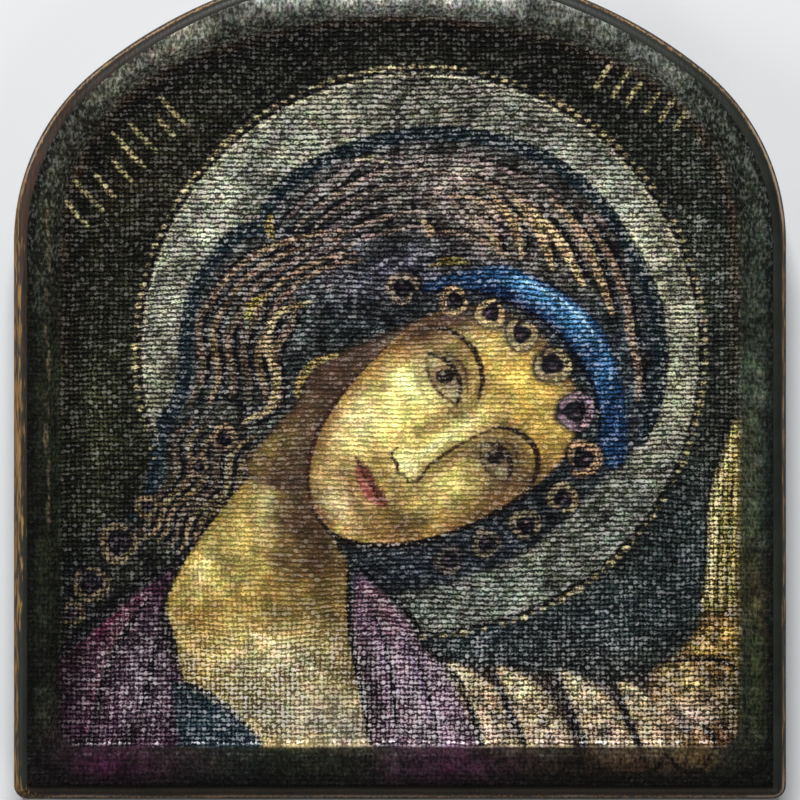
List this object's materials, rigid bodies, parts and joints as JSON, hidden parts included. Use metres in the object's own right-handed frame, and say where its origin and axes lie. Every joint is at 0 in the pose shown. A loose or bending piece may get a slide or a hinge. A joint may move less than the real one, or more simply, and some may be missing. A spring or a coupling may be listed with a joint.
{
  "type": "icon panel",
  "caption": "Small arched wooden icon panel with a shallow sloped recess, covered in fine painted linen, lying on its flat back.",
  "frame": {"origin": "centre of the flat back", "axes": "+Z out of the painted face, +Y towards the top of the arch, +X to the viewer's right when facing the painting"},
  "size_m": [0.12, 0.13, 0.015],
  "materials": {
    "dark_stained_wood": "dark green-brown stain with a dull gloss, worn to golden-brown bare wood along the edge",
    "varnished_painted_linen": "plain-weave linen painted in dark olive, ochre, brown, blue and purple under a glossy varnish"
  },
  "bodies": {
    "root": {"wood_board": "dark_stained_wood", "painted_canvas": "varnished_painted_linen"}
  },
  "joints": []
}
